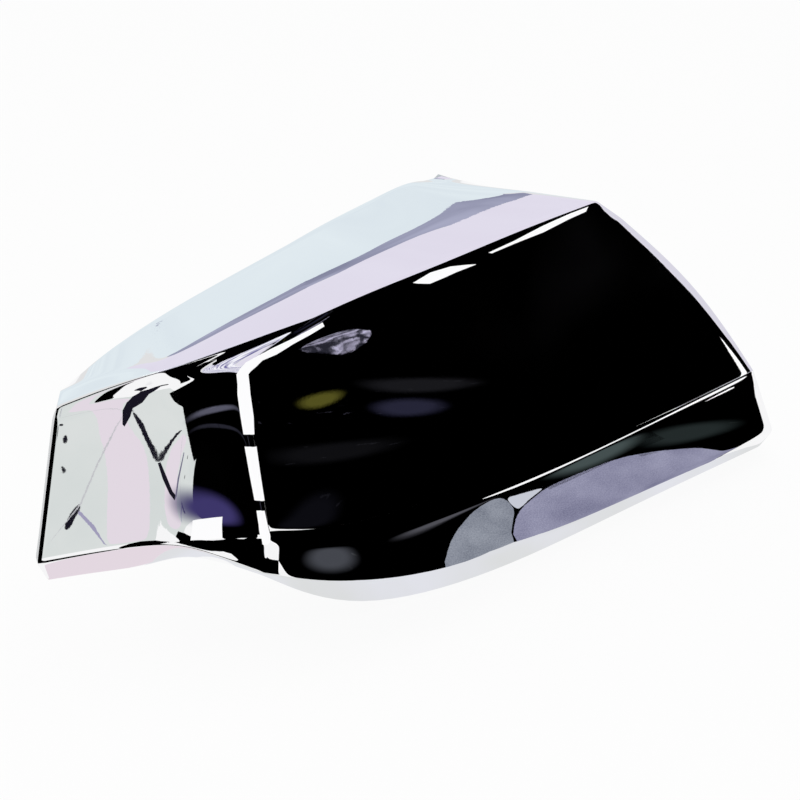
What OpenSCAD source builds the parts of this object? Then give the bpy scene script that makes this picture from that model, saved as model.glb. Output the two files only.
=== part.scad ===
// Wing mirror cover for the left side of a car: one moulded shell that clips over the
// front of the mirror housing. A swept body with a raked face, a diagonal outboard end
// and a drooping chin runs into a flat arm that stands back from the face.
//
// The frame is the car's: +X points outboard, +Y to the rear and +Z up. The origin is the
// middle of the main locating pin, and the open side of the shell looks along +Y.
//
// The skin is one smooth surface drawn through eight rails, which are guide lines that run
// along the cover from the arm's end to the outboard end. Where a rail is a crease, it is
// tripled: a line lies close to it on either side, and their distance sets how sharp the
// crease is. The shoulder and the outboard end are creases across the rails.

/* [Body] */
// Length of the ridge, from the shoulder fold to the outboard corner
ridge_l = 160; // [140:1:180]
// Length of the lower crease, from the shoulder fold to the outboard fold
crease_l = 227; // [207:1:247]
// Length of the chin, from the shoulder fold to the outboard corner
chin_l = 239.5; // [219.5:1:259.5]
// Height of the ridge over the axis of the main pin
ridge_up = 46.5; // [43:0.5:52]
// Drop from the axis of the main pin to the lower crease
crease_drop = 33.5; // [29:0.5:37]
// Drop from the axis of the main pin to the chin
chin_drop = 62.5; // [57:0.5:68]
// Sweep of the face towards the rear, outboard end, in degrees
sweep = 12; // [9:0.5:15]
// Rake of the face towards the rear, top edge, in degrees
rake = 17.5; // [14:0.5:20]
// Bulge of the face between its edges
crown = 1.5; // [0:0.1:4]
// Height of the plain strip between the ridge and the top of the face
strip_h = 7; // [5:0.5:9]
// Distance that the chin is tucked back under the face, at the middle of the body
tuck = 15; // [11:0.5:19]
// Depth of the top from the ridge to the rear rim, at its widest
top_d = 38; // [32:0.5:44]
// Rise of the rear rim over the ridge
top_rise = 9; // [6:0.5:13]
// Depth of the end wall behind the outboard fold
end_d = 26; // [20:0.5:32]
// Drop of the bottom rim under the chin
lip_drop = 12; // [9:0.5:15]

/* [Arm] */
// Length of the arm, from the shoulder fold to the top of its inboard end
arm_l = 55.5; // [48:0.5:66]
// Height of the arm, from the ridge to its lower fold
arm_h = 65; // [59:0.5:70]
// Lean of the inboard end: its foot stands this much further inboard
arm_lean = 11; // [4:0.5:15]
// Step from the face back to the root of the arm, level with the main pin
arm_step = 22.5; // [18:0.5:27]
// Sweep of the arm towards the rear, inboard end, in degrees
arm_sweep = 13; // [9:0.5:17]
// Width of the flank between the shoulder fold and the foot of the valley
flank_w = 16; // [13:0.5:19]

/* [Creases] */
// Softness of the ridge
ridge_r = 1.6; // [1:0.1:2.5]
// Softness of the fold round the face at the shoulder
shoulder_r = 2.8; // [2:0.1:4]
// Softness of the fold round the outboard end
end_r = 2.2; // [1.5:0.1:3.5]
// Softness of the lower crease at its outboard, sharpest end
crease_r = 1.8; // [1:0.1:3]
// Softness of the chin
chin_r = 2; // [1.4:0.1:3]

/* [Shell] */
// Thickness of the moulded wall
wall = 2.5; // [2:0.1:3]

/* [Locating pins] */
// Diameter of the main pin, which stands at the origin
pin_d = 5; // [4:0.5:6]
// Diameter of the outer pin and the arm's pin
side_pin_d = 4.5; // [3.5:0.5:5.5]
// Length of a pin past its seat
pin_l = 8; // [6:0.5:12]
// Height of the seats of the outer pin and the arm's pin over the middle of the wall
seat_h = 9; // [7:0.5:12]
// Diameter of the boss that carries a pin
boss_d = 6.4; // [6.2:0.2:7]
// Distance from the main pin to the outer pin
outer_pin_x = 92; // [80:1:104]
// Drop from the main pin to the outer pin
outer_pin_drop = 12; // [6:1:18]
// Distance from the main pin to the arm's pin
arm_pin_x = 112; // [106:1:117]
// Rise from the main pin to the arm's pin
arm_pin_rise = 10; // [4:1:16]
// Reach of the webs that brace a boss, from its axis
web_reach = 8; // [6:0.5:10]
// Thickness of the webs and the ribs
rib_t = 1.6; // [1.2:0.1:2.2]

/* [Snap hooks] */
// Width of a hook
hook_w = 10; // [7:0.5:12]
// Thickness of a hook's tongue
hook_t = 2; // [1.6:0.1:2.6]
// Length of a hook on the body, from the wall to its tip
hook_l = 27; // [22:0.5:32]
// Length of a hook on the arm, which is shallower
arm_hook_l = 14; // [12:0.5:17]
// Height of the barb on a hook
barb_h = 1.8; // [1:0.1:2.4]
// Distance of the upper hooks under the ridge
hook_drop = 8.5; // [8:0.5:11]
// Height of the lower hooks over the chin
hook_rise = 10; // [8:0.5:14]

// Distance of the arm's upper hook under the ridge
arm_hook_drop = 16; // [14:0.5:19]

/* [Ribs] */
// Height of the stiffening ribs over the inside of the wall
rib_h = 4; // [2.5:0.5:7]
// Distance of the ribs' feet over the lower crease
rib_gap = 6; // [4:0.5:10]
// Distance of the ribs' heads under the ridge
rib_drop = 16; // [13:0.5:20]

/* [Hidden] */

// The face stands this far in front of the middle of the main pin
face_y = -18.3;
// The shoulder fold lies this far inboard of the main pin
shoulder_x = -70.5;
// The flat of the arm begins here, past the rounded foot of the valley
root_x = shoulder_x - flank_w - 12;
arm_y = face_y + root_x * tan(sweep) + arm_step;
// Where the hooks of the body and the ribs stand, along X from the main pin
upper_hooks = [-40, 10, 60];
lower_hooks = [-20, 45, 110];
rib_places = [-45, 35, 70];

// A point of the face, swept and raked, pushed back by a distance
function face(x, z, back = 0) = [x, face_y + x * tan(sweep) + z * tan(rake) + back, z];

// A point of the arm's front, pushed back by a distance
function arm(x, z, back = 0) = [x, arm_y - (x - root_x) * tan(arm_sweep) + back, z];

// A point at the arm's inboard end, which leans
function arm_end(z, back = 0) =
    arm(shoulder_x - arm_l - arm_lean * (ridge_up - z) / arm_h, z, back);

// A point halfway along the arm
function arm_middle(z, back = 0) = arm((arm_end(z).x + root_x) / 2, z, back);

// The four points of a rail on the arm: its end, middle, root and the foot of the valley
function on_arm(z, back) = [
    arm_end(z[0], back[0]),
    arm_middle(z[1], back[1]),
    arm(root_x, z[2], back[2]),
    arm(shoulder_x - flank_w, z[3], back[3])
];

// The points of a rail on the body, each a share of its length, a height and a set-back
function on_body(length, level, points) =
    [for (p = points) face(shoulder_x + p[0] * length, level + p[1], p[2])];

// The last point of a rail, on the rear edge of the end wall
function behind(p, out, share, drop) = p + [out, share * end_d, -drop];

ridge = let (
    inboard = on_arm([for (d = [10, 5.5, 1.8, 1.4]) ridge_up - d], [-0.7, -1.2, -3.3, -0.3]),
    body = on_body(ridge_l, ridge_up, [
        [0.21, -0.7, 0.2], [0.35, 0, 1.2], [0.56, 0.5, 1.6], [0.78, 1.9, 0.4], [1, 1.6, 0.2]
    ])
) concat(inboard, body, [behind(body[4], 7, 1, 14.5)]);

// The top crease and the rear rim are set off from the ridge, outboard, back and up
top_crease = let (off = [
    [3, 0.1, 0.35], [1, 0.1, 0.35], [1, 0.07, 0.05], [5, 0.18, 0.3], [2, 0.3, 0.62],
    [3, 0.33, 0.6], [2, 0.43, 0.55], [-7, 0.47, 0.5], [-21, 0.32, 0.4], [-23, 0.06, 1.2]
]) [for (i = [0 : len(off) - 1]) ridge[i] + [off[i][0], off[i][1] * top_d, off[i][2] * top_rise]];

top_rim = let (off = [
    [6.5, 0.26, 0], [4, 0.3, 0.6], [10, 0.6, 0.65], [17, 0.8, 0.75], [7, 0.9, 1.1],
    [5, 0.96, 1.15], [-8, 1, 1], [-27, 0.95, 1], [-52, 0.8, 0.85], [-53, 0.11, 2.5]
]) [for (i = [0 : len(off) - 1]) ridge[i] + [off[i][0], off[i][1] * top_d, off[i][2] * top_rise]];

face_top = let (
    inboard = on_arm([for (d = [15.5, 11.5, 8.5, 7.5]) ridge_up - d], [0, 0, 0, 0]),
    body = on_body(ridge_l, ridge_up - strip_h, [
        [0.005, 0, 0], [0.21, 0, 0], [0.55, 0, 0], [0.79, 0, 0], [1.065, 0, 0]
    ])
) concat(inboard, body, [behind(body[4], 4.5, 1, 11.5)]);

belly = let (
    inboard = on_arm([8, 10, 11, 11], [0, 0, 0, 0]),
    body = concat(
        [face(shoulder_x, 11)],
        on_body(crease_l, 4, [[0.15, 0, -crown], [0.42, 0, -crown], [0.665, 0, -crown]]),
        [face(shoulder_x + 0.55 * ridge_l + 0.508 * crease_l, 7)]
    )
) concat(inboard, body, [behind(body[4], 2.5, 1, 9)]);

lower_crease = let (
    inboard = on_arm([for (d = [56, 55, 55, 56.5]) ridge_up - d], [0, 0, 0, 0]),
    body = on_body(crease_l, -crease_drop, [
        [0, 19.5, 0], [0.15, 5.5, 0], [0.42, 0, 0], [0.7, 0, 0], [1, 2, 0]
    ])
) concat(inboard, body, [behind(body[4], 1.5, 1.05, 4.5)]);

chin = let (
    inboard = on_arm([for (d = [0, -1, -0.8, 3.7]) ridge_up - arm_h - d], [0, 0, 0, 0]),
    body = on_body(chin_l, -chin_drop, [
        [0.015, 28.5, tuck + 1.5], [0.18, 6, tuck + 8], [0.42, -1, tuck], [0.7, 0, tuck - 3],
        [1, 1.5, tuck - 7]
    ])
) concat(inboard, body, [behind(body[4], 1, 0.95, -3)]);

// The bottom rim is set off from the chin, outboard, back and down
bottom_rim = let (off = [
    [5, 4.5, 0.85], [0.5, 7, 1], [0.5, 9, 1.15], [2, 11, 0.65], [5, 12, 0.7],
    [1, 6, 1.15], [1.5, 6, 0.9], [-0.5, 6.5, 0.8], [0, 7, 0.85], [0, -9, 0.6]
]) [for (i = [0 : len(off) - 1]) chin[i] + [off[i][0], off[i][1], -off[i][2] * lip_drop]];

// The rails from top to bottom, and how soft each crease is along its ten points
rails = [top_rim, top_crease, ridge, face_top, belly, lower_crease, chin, bottom_rim];
rail_softness = [
    undef,
    [2, 2, 2, 2, 2.5, 3.5, 5, 4, 2, 2],
    [for (i = [0 : 9]) ridge_r],
    [6, 6, 5, 4, shoulder_r, 3, 3, 3, 3, 3],
    undef,
    [8, 8, 8, 7, 5, 6, crease_r + 1, crease_r, crease_r, crease_r],
    [for (i = [0 : 9]) chin_r],
    undef
];
station_softness = [
    undef, undef, undef, undef, shoulder_r, undef, undef, undef, end_r, undef
];

// The softness of a crease at its k-th point, whether it varies along the crease or not
function soft(r, k) = is_list(r) ? r[k] : r;

// A point on the way from p to q, at distance d but never past a third of the way
function toward(p, q, d) = p + (q - p) * min(d / norm(q - p), 1 / 3);

// Triples each line that has a softness
function creased(lines, softness) = [for (i = [0 : len(lines) - 1])
    each softness[i] == undef ? [lines[i]] : [
        [for (k = [0 : len(lines[i]) - 1])
            toward(lines[i][k], lines[i - 1][k], soft(softness[i], k))],
        lines[i],
        [for (k = [0 : len(lines[i]) - 1])
            toward(lines[i][k], lines[i + 1][k], soft(softness[i], k))]
    ]];

function turned(net) = [for (j = [0 : len(net[0]) - 1]) [for (row = net) row[j]]];

function control_net(lines) = turned(creased(turned(creased(lines, rail_softness)),
    station_softness));

// The directions that look out of the up to four facets that meet at a point of a net
function outward(net, i, j) = [
    for (a = [-1, 1], b = [-1, 1])
        if (i + a >= 0 && i + a < len(net) && j + b >= 0 && j + b < len(net[0]))
            let (n = a * b * cross(net[i + a][j] - net[i][j], net[i][j + b] - net[i][j]))
                n / norm(n)
];

function total(v, k = 0) = k == len(v) - 1 ? v[k] : v[k] + total(v, k + 1);

// A net moved inwards so far that each of its facets moves by the distance
function inset(net, distance) = [for (i = [0 : len(net) - 1]) [for (j = [0 : len(net[0]) - 1])
    let (facets = outward(net, i, j), sum = total(facets), way = sum / norm(sum))
        net[i][j] - way * distance * len(facets) / total([for (n = facets) n * way])
]];

// Weights of four neighbours at the share t between the middle two, on a cubic B-spline
function weights(t) = [
    pow(1 - t, 3) / 6,
    (3 * pow(t, 3) - 6 * pow(t, 2) + 4) / 6,
    (-3 * pow(t, 3) + 3 * pow(t, 2) + 3 * t + 1) / 6,
    pow(t, 3) / 6
];

// A list of points, or of rows of points, with one more at each end, in line
function lengthened(a) = let (n = len(a) - 1) concat([2 * a[0] - a[1]], a, [2 * a[n] - a[n - 1]]);

function blend(a, s, w) = w[0] * a[s] + w[1] * a[s + 1] + w[2] * a[s + 2] + w[3] * a[s + 3];

// Runs the smooth curve through points or rows, with a number of steps from one to the next
function smoothed(a, steps) = let (b = lengthened(a), spans = len(a) - 1) concat(
    [for (s = [0 : spans - 1], q = [0 : steps - 1]) blend(b, s, weights(q / steps))],
    [blend(b, spans - 1, weights(1))]
);

function skin(net) = [for (row = smoothed(net, 3)) smoothed(row, 3)];

outer = skin(control_net(rails));
inner = skin(control_net(inset(rails, wall)));

// Two skins of the same grid, joined round their edge into one closed solid
module shell() {
    rows = len(outer);
    cols = len(outer[0]);
    count = rows * cols;
    at = function (side, i, j) side * count + i * cols + j;
    skins = [for (side = [0, 1], i = [0 : rows - 2], j = [0 : cols - 2]) let (
        a = at(side, i, j), b = at(side, i, j + 1),
        c = at(side, i + 1, j + 1), d = at(side, i + 1, j)
    ) each side == 0 ? [[a, b, c], [a, c, d]] : [[a, c, b], [a, d, c]]];
    edge = concat(
        [for (j = [0 : cols - 2]) [0, j]],
        [for (i = [0 : rows - 2]) [i, cols - 1]],
        [for (j = [cols - 1 : -1 : 1]) [rows - 1, j]],
        [for (i = [rows - 1 : -1 : 1]) [i, 0]]
    );
    rim = [for (k = [0 : len(edge) - 1]) let (
        p = edge[k], q = edge[(k + 1) % len(edge)],
        a = at(0, p[0], p[1]), b = at(0, q[0], q[1]),
        c = at(1, q[0], q[1]), d = at(1, p[0], p[1])
    ) each [[a, d, c], [a, c, b]]];
    points = [for (skin = [outer, inner], row = skin, p = row) p];
    polyhedron(points, concat(skins, rim));
}

// The middle of the wall between the ridge and the chin, with its direction there
middle = (outer + inner) / 2;
front_rows = [15 : 45];
front_columns = [0 : 33];
front = [for (i = front_rows, j = front_columns) [
    middle[i][j],
    cross(middle[i + 1][j] - middle[i - 1][j], middle[i][j + 1] - middle[i][max(j - 1, 0)])
]];

// How far to the rear the middle of the wall lies at a place in the front view
function wall_y(x, z) = let (
    d = [for (s = front) norm([s[0].x - x, s[0].z - z])],
    s = front[search(min(d), d)[0]]
) s[0].y - ((x - s[0].x) * s[1].x + (z - s[0].z) * s[1].z) / s[1].y;

// Where a foot of a half width and a half height can begin and yet stay behind the face
function foot_y(x, z, across, up) = let (
    corners = [for (dx = [-across, across], dz = [-up, up]) wall_y(x + dx, z + dz)],
    buried = 0.42 * wall
) max(wall_y(x, z), max(corners) - buried);

// A flat web across X, from the wall to a depth at its inner end
module web(x, z, reach, to) {
    translate([0, 0, z - rib_t / 2]) linear_extrude(rib_t) polygon([
        [x, wall_y(x, z)], [x + reach, wall_y(x + reach, z)],
        [x + reach, wall_y(x + reach, z) + wall], [x, to]
    ]);
}

// The same web across Z
module upright_web(x, z, reach, to) {
    translate([x - rib_t / 2, 0, 0]) rotate([90, 0, 90]) linear_extrude(rib_t) polygon([
        [wall_y(x, z), z], [wall_y(x, z + reach), z + reach],
        [wall_y(x, z + reach) + wall, z + reach], [to, z]
    ]);
}

// A pin with its boss and four webs; the seat is the step from the one to the other
module locating_pin(x, z, d, seat) {
    foot = foot_y(x, z, boss_d / 2 * sqrt(1 / 2), boss_d / 2 * sqrt(1 / 2));
    tip = seat + pin_l;
    chamfer = 0.8;
    embedded = 1;
    translate([x, 0, z]) rotate([-90, 0, 0]) rotate_extrude($fn = 48) polygon([
        [0, foot], [boss_d / 2, foot], [boss_d / 2, seat],
        [d / 2, seat], [d / 2, tip - chamfer], [d / 2 - chamfer, tip], [0, tip]
    ]);
    for (way = [-1, 1]) {
        web(x, z, way * web_reach, seat - embedded);
        upright_web(x, z, way * web_reach, seat - embedded);
    }
}

// The two outer pins are thinner, and they stand as far out of the wall as the seats ask
module side_pin(x, z) {
    locating_pin(x, z, side_pin_d, wall_y(x, z) + seat_h);
}

// A tongue that springs over an edge of the housing; its barb looks up or down
module snap_hook(x, z, way, length = hook_l) {
    root = foot_y(x, z, hook_w / 2, hook_t / 2);
    tip = root + length;
    translate([x - hook_w / 2, 0, z]) rotate([90, 0, 90]) linear_extrude(hook_w) polygon([
        [root, -hook_t / 2 * way], [root, hook_t / 2 * way],
        [tip - 3 * barb_h, hook_t / 2 * way], [tip - 3 * barb_h, (hook_t / 2 + barb_h) * way],
        [tip, hook_t / 4 * way], [tip, -hook_t / 2 * way]
    ]);
}

// A low rib that follows the inside of the wall from one height to another
module upright_rib(x, from, to) {
    steps = 8;
    heights = [for (k = [0 : steps]) from + (to - from) * k / steps];
    translate([x - rib_t / 2, 0, 0]) rotate([90, 0, 90]) linear_extrude(rib_t) polygon(concat(
        [for (z = heights) [wall_y(x, z), z]],
        [for (k = [steps : -1 : 0]) [wall_y(x, heights[k]) + wall / 2 + rib_h, heights[k]]]
    ));
}

module mirror_cover() {
    color("gainsboro") {
        shell();
        locating_pin(0, 0, pin_d, -pin_l / 2);
        side_pin(outer_pin_x, -outer_pin_drop);
        side_pin(-arm_pin_x, arm_pin_rise);
        for (x = upper_hooks) snap_hook(x, ridge_up - hook_drop, 1);
        for (x = lower_hooks) snap_hook(x, hook_rise - chin_drop, -1);
        snap_hook(-arm_pin_x, ridge_up - arm_hook_drop, 1, arm_hook_l);
        snap_hook(-arm_pin_x, ridge_up - arm_h + hook_rise, -1, arm_hook_l);
        for (x = rib_places) upright_rib(x, rib_gap - crease_drop, ridge_up - rib_drop);
    }
}

mirror_cover();
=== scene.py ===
"""A chrome-plated wing mirror cover for the left side of a car, on a pale studio floor.

The cover is one moulded shell with locating pins, snap hooks and ribs inside. Its skin is a
subdivision surface over a net of control points, which runs along eight guide lines. Everything
is in metres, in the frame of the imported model: +X outboard, +Y to the rear, +Z up, with the
origin in the middle of the main locating pin.
"""

import logging
import math
from collections.abc import Iterable, Sequence
from dataclasses import dataclass, field
from enum import Enum

import bmesh
import bpy
from mathutils import Matrix, Vector
from mathutils.bvhtree import BVHTree


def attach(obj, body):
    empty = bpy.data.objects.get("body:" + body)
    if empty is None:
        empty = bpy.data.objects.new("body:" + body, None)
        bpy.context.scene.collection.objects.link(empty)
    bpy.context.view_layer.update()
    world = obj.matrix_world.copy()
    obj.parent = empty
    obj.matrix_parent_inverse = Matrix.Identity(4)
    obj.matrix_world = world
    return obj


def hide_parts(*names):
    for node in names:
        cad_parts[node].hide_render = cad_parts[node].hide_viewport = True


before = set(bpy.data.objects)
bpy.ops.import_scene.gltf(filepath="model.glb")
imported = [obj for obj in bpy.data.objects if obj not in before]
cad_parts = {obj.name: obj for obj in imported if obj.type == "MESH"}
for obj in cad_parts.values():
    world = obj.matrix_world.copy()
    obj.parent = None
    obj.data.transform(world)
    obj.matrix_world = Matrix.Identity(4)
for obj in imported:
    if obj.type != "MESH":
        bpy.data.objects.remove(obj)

logger = logging.getLogger("mirror_cover")

NODE = "mirror_cover"
BODY = "root"
Line = list[Vector]
Net = list[Line]


class Slot(Enum):
    """Two names of material slots; nothing in the script uses them."""

    CHROME = "chrome_skin"
    INSIDE = "plated_inside"


# Sizes and guide lines


@dataclass(frozen=True)
class CoverSizes:
    """The sizes of the cover, as in the part's source, in metres and degrees."""

    ridge_l: float = 0.160
    crease_l: float = 0.227
    chin_l: float = 0.2395
    ridge_up: float = 0.0465
    crease_drop: float = 0.0335
    chin_drop: float = 0.0625
    sweep: float = 12.0
    rake: float = 17.5
    crown: float = 0.0015
    strip_h: float = 0.007
    tuck: float = 0.015
    top_d: float = 0.038
    top_rise: float = 0.009
    end_d: float = 0.026
    lip_drop: float = 0.012
    arm_l: float = 0.0555
    arm_h: float = 0.065
    arm_lean: float = 0.011
    arm_step: float = 0.0225
    arm_sweep: float = 13.0
    flank_w: float = 0.016
    ridge_r: float = 0.0016
    shoulder_r: float = 0.0028
    end_r: float = 0.0022
    crease_r: float = 0.0018
    chin_r: float = 0.002
    wall: float = 0.0025
    face_y: float = -0.0183
    shoulder_x: float = -0.0705
    valley_w: float = 0.012


@dataclass(frozen=True)
class GuideLines:
    """The eight guide lines of the skin, each from the arm's end to the outboard end."""

    sizes: CoverSizes = field(default_factory=CoverSizes)

    @property
    def root_x(self) -> float:
        """Where the flat of the arm begins."""
        return self.sizes.shoulder_x - self.sizes.flank_w - self.sizes.valley_w

    def face(self, x: float, z: float, back: float = 0.0) -> Vector:
        """A point of the face, swept and raked, pushed back by a distance."""
        s = self.sizes
        y = s.face_y + x * math.tan(math.radians(s.sweep)) + z * math.tan(math.radians(s.rake))
        return Vector((x, y + back, z))

    def arm(self, x: float, z: float, back: float = 0.0) -> Vector:
        """A point of the arm's front, pushed back by a distance."""
        s = self.sizes
        root_y = s.face_y + self.root_x * math.tan(math.radians(s.sweep)) + s.arm_step
        swept = (x - self.root_x) * math.tan(math.radians(s.arm_sweep))
        return Vector((x, root_y - swept + back, z))

    def on_arm(self, levels: Sequence[float], backs: Sequence[float] = (0.0,) * 4) -> Line:
        """The four points of a line on the arm.

        Args:
            levels: Heights at the arm's end, its middle, its root and the foot of the valley.
            backs: Set-backs at the same places.

        Returns:
            The points, from the end of the arm inwards.
        """
        s = self.sizes

        def end_x(z: float) -> float:
            """How far out the leaning end of the arm stands at a height."""
            return s.shoulder_x - s.arm_l - s.arm_lean * (s.ridge_up - z) / s.arm_h

        places = [
            end_x(levels[0]),
            (end_x(levels[1]) + self.root_x) / 2,
            self.root_x,
            s.shoulder_x - s.flank_w,
        ]
        return [self.arm(x, z, back) for x, z, back in zip(places, levels, backs)]

    def on_body(
        self, length: float, level: float, points: Iterable[tuple[float, float, float]]
    ) -> Line:
        """Points of a line on the body.

        Args:
            length: Length of the line, from the shoulder on.
            level: Height that the points' own heights are added to.
            points: For each point its share of the length, its height and its set-back.

        Returns:
            The points.
        """
        return [self.face(self.sizes.shoulder_x + share * length, level + up, back)
                for share, up, back in points]

    def ended(self, line: Line, out: float, share: float, drop: float) -> Line:
        """The line with one more point, on the rear edge of the end wall."""
        return line + [line[-1] + Vector((out, share * self.sizes.end_d, -drop))]

    def offset(self, line: Line, steps: Iterable[tuple[float, float, float]]) -> Line:
        """A line set off from another one, each point by its own step."""
        return [point + Vector(step) for point, step in zip(line, steps)]

    def lines(self) -> Net:
        """All eight lines, from the rear rim of the top to the bottom rim.

        Returns:
            The lines, each of ten points.
        """
        s = self.sizes
        arm_foot = s.ridge_up - s.arm_h
        ridge = self.on_arm(
            [s.ridge_up - d for d in (0.010, 0.0055, 0.0018, 0.0014)],
            (-0.0007, -0.0012, -0.0033, -0.0003),
        ) + self.on_body(s.ridge_l, s.ridge_up, [
            (0.21, -0.0007, 0.0002), (0.35, 0.0, 0.0012), (0.56, 0.0005, 0.0016),
            (0.78, 0.0019, 0.0004), (1.0, 0.0016, 0.0002),
        ])
        ridge = self.ended(ridge, 0.007, 1.0, 0.0145)
        top_crease = self.offset(ridge, [
            (out, back * s.top_d, up * s.top_rise) for out, back, up in (
                (0.003, 0.1, 0.35), (0.001, 0.1, 0.35), (0.001, 0.07, 0.05), (0.005, 0.18, 0.3),
                (0.002, 0.3, 0.62), (0.003, 0.33, 0.6), (0.002, 0.43, 0.55),
                (-0.007, 0.47, 0.5), (-0.021, 0.32, 0.4), (-0.023, 0.06, 1.2))
        ])
        top_rim = self.offset(ridge, [
            (out, back * s.top_d, up * s.top_rise) for out, back, up in (
                (0.0065, 0.26, 0.0), (0.004, 0.3, 0.6), (0.010, 0.6, 0.65), (0.017, 0.8, 0.75),
                (0.007, 0.9, 1.1), (0.005, 0.96, 1.15), (-0.008, 1.0, 1.0),
                (-0.027, 0.95, 1.0), (-0.052, 0.8, 0.85), (-0.053, 0.11, 2.5))
        ])
        face_top = self.on_arm(
            [s.ridge_up - d for d in (0.0155, 0.0115, 0.0085, 0.0075)]
        ) + self.on_body(s.ridge_l, s.ridge_up - s.strip_h, [
            (share, 0.0, 0.0) for share in (0.005, 0.21, 0.55, 0.79, 1.065)
        ])
        face_top = self.ended(face_top, 0.0045, 1.0, 0.0115)
        belly = self.on_arm([0.008, 0.010, 0.011, 0.011]) + [self.face(s.shoulder_x, 0.011)]
        belly += self.on_body(s.crease_l, 0.004, [
            (share, 0.0, -s.crown) for share in (0.15, 0.42, 0.665)
        ])
        belly.append(self.face(s.shoulder_x + 0.55 * s.ridge_l + 0.508 * s.crease_l, 0.007))
        belly = self.ended(belly, 0.0025, 1.0, 0.009)
        lower_crease = self.on_arm(
            [s.ridge_up - d for d in (0.056, 0.055, 0.055, 0.0565)]
        ) + self.on_body(s.crease_l, -s.crease_drop, [
            (0.0, 0.0195, 0.0), (0.15, 0.0055, 0.0), (0.42, 0.0, 0.0), (0.7, 0.0, 0.0),
            (1.0, 0.002, 0.0),
        ])
        lower_crease = self.ended(lower_crease, 0.0015, 1.05, 0.0045)
        chin = self.on_arm(
            [arm_foot - d for d in (0.0, -0.001, -0.0008, 0.0037)]
        ) + self.on_body(s.chin_l, -s.chin_drop, [
            (0.015, 0.0285, s.tuck + 0.0015), (0.18, 0.006, s.tuck + 0.008),
            (0.42, -0.001, s.tuck), (0.7, 0.0, s.tuck - 0.003), (1.0, 0.0015, s.tuck - 0.007),
        ])
        chin = self.ended(chin, 0.001, 0.95, -0.003)
        bottom_rim = self.offset(chin, [
            (out, back, -share * s.lip_drop) for out, back, share in (
                (0.005, 0.0045, 0.85), (0.0005, 0.007, 1.0), (0.0005, 0.009, 1.15),
                (0.002, 0.011, 0.65), (0.005, 0.012, 0.7), (0.001, 0.006, 1.15),
                (0.0015, 0.006, 0.9), (-0.0005, 0.0065, 0.8), (0.0, 0.007, 0.85),
                (0.0, -0.009, 0.6))
        ])
        return [top_rim, top_crease, ridge, face_top, belly, lower_crease, chin, bottom_rim]


@dataclass(frozen=True)
class SkinNet:
    """The control net of one skin: the guide lines, with each crease tripled."""

    guides: GuideLines = field(default_factory=GuideLines)

    def line_softness(self) -> list[list[float] | None]:
        """How soft each guide line is along its points, or None where it is no crease."""
        s = self.guides.sizes
        return [
            None,
            [0.002, 0.002, 0.002, 0.002, 0.0025, 0.0035, 0.005, 0.004, 0.002, 0.002],
            [s.ridge_r] * 10,
            [0.006, 0.006, 0.005, 0.004, s.shoulder_r, 0.003, 0.003, 0.003, 0.003, 0.003],
            None,
            [0.008, 0.008, 0.008, 0.007, 0.005, 0.006, s.crease_r + 0.001] + [s.crease_r] * 3,
            [s.chin_r] * 10,
            None,
        ]

    def station_softness(self, count: int) -> list[list[float] | None]:
        """How soft each crease across the guide lines is: the shoulder and the end fold."""
        s = self.guides.sizes
        across: list[list[float] | None] = [None] * 10
        across[4] = [s.shoulder_r] * count
        across[8] = [s.end_r] * count
        return across

    @staticmethod
    def toward(start: Vector, goal: Vector, distance: float) -> Vector:
        """A point on the way to another one, but never past a third of the way."""
        way = goal - start
        return start + way * min(distance / way.length, 1 / 3)

    def creased(self, lines: Net, softness: list[list[float] | None]) -> Net:
        """Triples each line that has a softness.

        Args:
            lines: The lines of a net.
            softness: For each line its softness at each point, or None.

        Returns:
            The longer list of lines.
        """
        result: Net = []
        for i, (line, soft) in enumerate(zip(lines, softness)):
            if soft is None:
                result.append(line)
                continue
            before, after = lines[i - 1], lines[i + 1]
            result.append([self.toward(*pair) for pair in zip(line, before, soft)])
            result.append(line)
            result.append([self.toward(*pair) for pair in zip(line, after, soft)])
        return result

    @staticmethod
    def turned(net: Net) -> Net:
        """The net with its rows as columns."""
        return [list(column) for column in zip(*net)]

    @staticmethod
    def inset(net: Net, distance: float) -> Net:
        """A net moved inwards so far that each of its facets moves by the distance.

        Args:
            net: Rows of points.
            distance: How far the facets move.

        Returns:
            The moved net.
        """
        rows, cols = len(net), len(net[0])

        def moved(i: int, j: int) -> Vector:
            """One point of the net, moved along the mean of the facets that meet there."""
            here = net[i][j]
            facets = []
            for a in (-1, 1):
                for b in (-1, 1):
                    if 0 <= i + a < rows and 0 <= j + b < cols:
                        across = (net[i + a][j] - here).cross(net[i][j + b] - here)
                        facets.append((across * a * b).normalized())
            way = sum(facets, Vector()).normalized()
            share = sum(facet.dot(way) for facet in facets) / len(facets)
            return here - way * distance / share

        return [[moved(i, j) for j in range(cols)] for i in range(rows)]

    def control_net(self, depth: float) -> Net:
        """The control net at a depth under the outer skin.

        Args:
            depth: How far the guide lines are set in.

        Returns:
            Rows of control points, from the top's rear rim to the bottom rim.
        """
        lines = self.guides.lines()
        if depth:
            lines = self.inset(lines, depth)
        rows = self.creased(lines, self.line_softness())
        return self.turned(self.creased(self.turned(rows), self.station_softness(len(rows))))


# Finishes


def node_tree(name: str) -> tuple[bpy.types.Material, bpy.types.NodeTree]:
    """An empty material with its node tree.

    Args:
        name: Name of the material.

    Returns:
        The material and its tree, which has only the output node.
    """
    material = bpy.data.materials.new(name)
    material.use_nodes = True
    tree = material.node_tree
    tree.nodes.clear()
    tree.nodes.new("ShaderNodeOutputMaterial")
    return material, tree


def output_of(tree: bpy.types.NodeTree) -> bpy.types.Node:
    """The output node of a material's tree."""
    return next(n for n in tree.nodes if n.bl_idname == "ShaderNodeOutputMaterial")


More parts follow.
